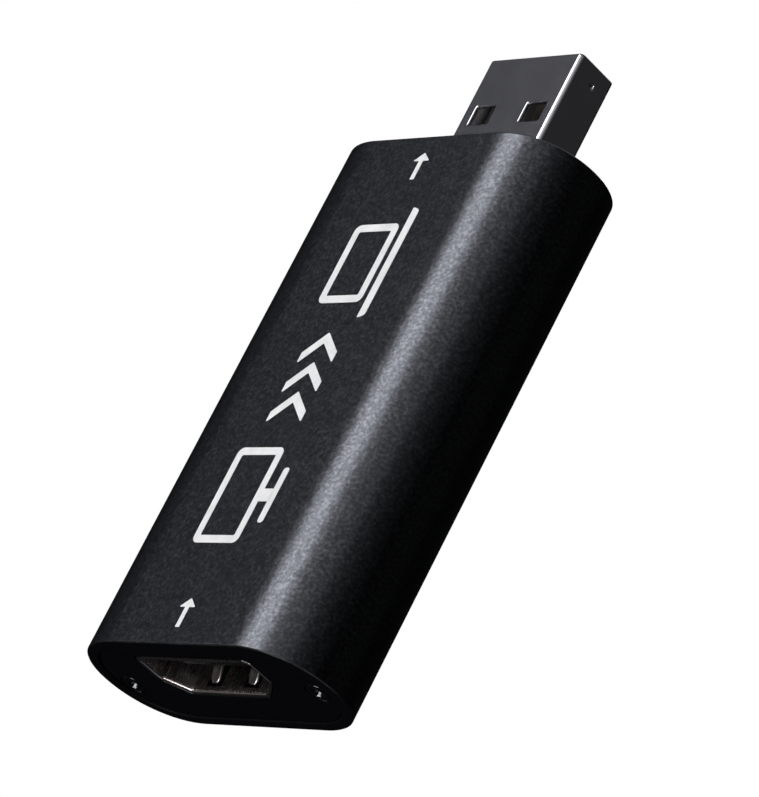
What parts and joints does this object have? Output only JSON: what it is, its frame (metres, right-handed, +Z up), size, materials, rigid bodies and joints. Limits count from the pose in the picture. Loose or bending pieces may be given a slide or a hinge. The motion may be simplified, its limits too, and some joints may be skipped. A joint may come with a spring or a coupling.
{
  "type": "video capture box",
  "caption": "Slim black anodised aluminium capture box with rounded sides, a flat rectangular data plug at one end and a sprung D-shaped video socket at the other.",
  "frame": {"origin": "on the underside, in the middle of the overall length (plug included) and of the width", "axes": "+Z up out of the broad top face, +Y from the socket end towards the tip of the plug, +X to the right when looking along +Y"},
  "size_m": [0.0296, 0.0662, 0.0131],
  "materials": {
    "anodised_aluminium": "bead-blasted, anodised black, with bright cut edges",
    "black_gloss": "glossy moulded black",
    "screw_steel": "dark plated steel",
    "board_laminate": "green lacquered laminate",
    "nickel_plate": "nickel-plated sheet",
    "plug_plate": "nickel-plated sheet, satin",
    "black_insulator": "moulded black",
    "pale_insulator": "moulded pale grey",
    "contact_plate": "thin pale plating",
    "gold_plate": "gold-plated contact",
    "chip_package": "moulded epoxy",
    "tinned_metal": "tinned",
    "capacitor_ceramic": "fired, dull",
    "ferrite_grey": "fired, dull",
    "capacitor_yellow": "moulded"
  },
  "bodies": {
    "box": {"housing_sleeve": "anodised_aluminium", "input_end_cap": "black_gloss", "output_end_cap": "black_gloss", "input_cap_screws": "screw_steel", "output_cap_screws": "screw_steel", "circuit_board": "board_laminate", "socket_shell": "nickel_plate", "socket_insulator": "black_insulator", "socket_upper_contacts": "gold_plate", "socket_lower_contacts": "gold_plate", "plug_shell": "plug_plate", "plug_insulator": "pale_insulator", "plug_contacts": "contact_plate", "capture_chip": "chip_package", "capture_chip_leads": "tinned_metal", "memory_chip": "chip_package", "memory_chip_leads": "tinned_metal", "power_regulator": "chip_package", "power_regulator_leads": "tinned_metal", "crystal_can": "tinned_metal", "surge_arrays": "chip_package", "ceramic_capacitors": "capacitor_ceramic", "chip_resistors": "chip_package", "ferrite_beads": "ferrite_grey", "bulk_capacitor": "capacitor_yellow", "passive_terminals": "tinned_metal"},
    "spring_upper_left": {"spring_upper_left": "nickel_plate"},
    "spring_upper_right": {"spring_upper_right": "nickel_plate"},
    "spring_lower_left": {"spring_lower_left": "nickel_plate"},
    "spring_lower_right": {"spring_lower_right": "nickel_plate"}
  },
  "joints": [
    {"name": "spring_upper_left_flex", "type": "hinge", "parent": "box", "child": "spring_upper_left", "pos_m": [-0.00245, -0.0266, 0.0102], "axis": [-1, 0, 0], "range_deg": [0, 6], "stiffness_Nm_per_rad": 0.09},
    {"name": "spring_upper_right_flex", "type": "hinge", "parent": "box", "child": "spring_upper_right", "pos_m": [0.00245, -0.0266, 0.0102], "axis": [-1, 0, 0], "range_deg": [0, 6], "stiffness_Nm_per_rad": 0.09},
    {"name": "spring_lower_left_flex", "type": "hinge", "parent": "box", "child": "spring_lower_left", "pos_m": [-0.00245, -0.0266, 0.00505], "axis": [1, 0, 0], "range_deg": [0, 6], "stiffness_Nm_per_rad": 0.09},
    {"name": "spring_lower_right_flex", "type": "hinge", "parent": "box", "child": "spring_lower_right", "pos_m": [0.00245, -0.0266, 0.00505], "axis": [1, 0, 0], "range_deg": [0, 6], "stiffness_Nm_per_rad": 0.09}
  ]
}
